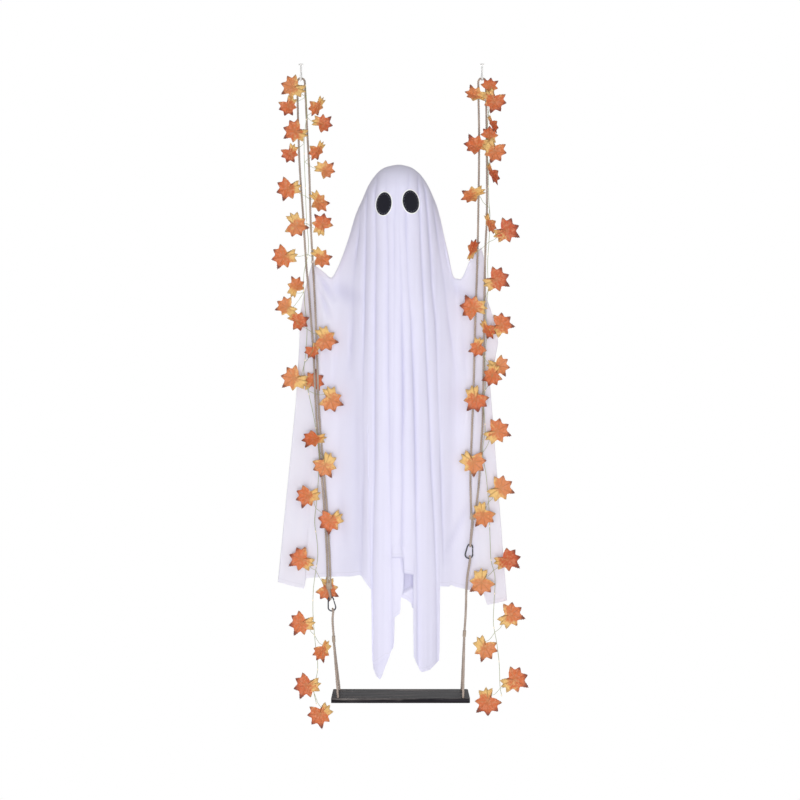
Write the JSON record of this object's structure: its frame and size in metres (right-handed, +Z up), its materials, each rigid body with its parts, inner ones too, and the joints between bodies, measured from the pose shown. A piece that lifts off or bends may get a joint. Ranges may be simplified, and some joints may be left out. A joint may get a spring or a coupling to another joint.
{
  "type": "hanging sheet ghost on a rope swing",
  "caption": "Cloth sheet ghost that sways between two hanging swing ropes with leaf light garlands, snap links and a wooden seat board.",
  "frame": {"origin": "midway between the two hook bows, on the line that the swing turns about", "axes": "+Z up, front of the figure towards -Y, +X to the right as seen from the front"},
  "size_m": [0.7279, 0.2183, 1.9102],
  "materials": {
    "hook_coating": "white coated steel",
    "jute_rope": "twisted natural fibre",
    "dark_steel": "dark plated steel",
    "wire_steel": "galvanised wire",
    "stained_wood": "black stain, worn",
    "head_plastic": "white blown plastic",
    "rod_wood": "plain hardwood",
    "sheet_cloth": "white woven cloth",
    "eye_felt": "black felt",
    "tie_string": "cotton string",
    "light_wire": "coated light wire",
    "leaf_fabric": "printed leaf cloth",
    "case_plastic": "white moulded plastic",
    "button_plastic": "green moulded plastic",
    "cell_metal": "wrapped cell"
  },
  "bodies": {
    "hang": {"left_ceiling_hook": "hook_coating", "right_ceiling_hook": "hook_coating"},
    "swing": {"left_upper_rope": "jute_rope", "right_upper_rope": "jute_rope", "left_carabiner": "dark_steel", "right_carabiner": "dark_steel", "left_gate_pin": "dark_steel", "right_gate_pin": "dark_steel", "left_hand_tie": "tie_string", "right_hand_tie": "tie_string", "left_garland_wire": "light_wire", "right_garland_wire": "light_wire", "left_sprig_01": "leaf_fabric", "left_sprig_02": "leaf_fabric", "left_sprig_03": "leaf_fabric", "left_sprig_04": "leaf_fabric", "left_sprig_05": "leaf_fabric", "left_sprig_06": "leaf_fabric", "left_sprig_07": "leaf_fabric", "left_sprig_08": "leaf_fabric", "left_sprig_09": "leaf_fabric", "left_sprig_10": "leaf_fabric", "left_sprig_11": "leaf_fabric", "left_sprig_12": "leaf_fabric", "left_sprig_13": "leaf_fabric", "left_sprig_14": "leaf_fabric", "left_sprig_15": "leaf_fabric", "left_sprig_16": "leaf_fabric", "right_sprig_01": "leaf_fabric", "right_sprig_02": "leaf_fabric", "right_sprig_03": "leaf_fabric", "right_sprig_04": "leaf_fabric", "right_sprig_05": "leaf_fabric", "right_sprig_06": "leaf_fabric", "right_sprig_07": "leaf_fabric", "right_sprig_08": "leaf_fabric", "right_sprig_09": "leaf_fabric", "right_sprig_10": "leaf_fabric", "right_sprig_11": "leaf_fabric", "right_sprig_12": "leaf_fabric", "right_sprig_13": "leaf_fabric", "right_sprig_14": "leaf_fabric", "right_sprig_15": "leaf_fabric"},
    "left_gate": {"left_gate": "dark_steel"},
    "right_gate": {"right_gate": "dark_steel"},
    "seat": {"swing_seat": "stained_wood", "left_lower_rope": "jute_rope", "right_lower_rope": "jute_rope"},
    "ghost": {"ghost_sheet": "sheet_cloth", "left_eye": "eye_felt", "right_eye": "eye_felt", "head_ball": "head_plastic", "neck_rod": "rod_wood", "arm_wire": "wire_steel", "battery_case": "case_plastic", "battery_lid": "case_plastic", "battery_cell_1": "cell_metal", "battery_cell_2": "cell_metal", "battery_cell_3": "cell_metal"},
    "button": {"power_button": "button_plastic"}
  },
  "joints": [
    {"name": "swing_pivot", "type": "hinge", "parent": "hang", "child": "swing", "pos_m": [0, 0, 0], "axis": [1, 0, 0], "range_deg": [-30, 30]},
    {"name": "seat_swing", "type": "hinge", "parent": "swing", "child": "seat", "pos_m": [-0.16773, -0.015, -1.54279], "axis": [0.9336, 0, 0.3583], "range_deg": [-12, 0]},
    {"name": "ghost_sway", "type": "hinge", "parent": "swing", "child": "ghost", "pos_m": [-0.22139, 0.005, -0.53832], "axis": [0.9974, 0, 0.0718], "range_deg": [0, 10]},
    {"name": "left_gate_turn", "type": "hinge", "parent": "swing", "child": "left_gate", "pos_m": [-0.16136, -0.015, -1.5291], "axis": [0, -1, 0], "range_deg": [0, 20], "stiffness_Nm_per_rad": 0.01, "springref_deg": -10},
    {"name": "right_gate_turn", "type": "hinge", "parent": "swing", "child": "right_gate", "pos_m": [0.23387, -0.015, -1.3806], "axis": [0, -1, 0], "range_deg": [0, 20], "stiffness_Nm_per_rad": 0.01, "springref_deg": -10},
    {"name": "button_press", "type": "slide", "parent": "ghost", "child": "button", "axis": [0, 1, 0], "range_m": [0, 0.0012], "stiffness_N_per_m": 200, "springref_m": -0.0005}
  ]
}
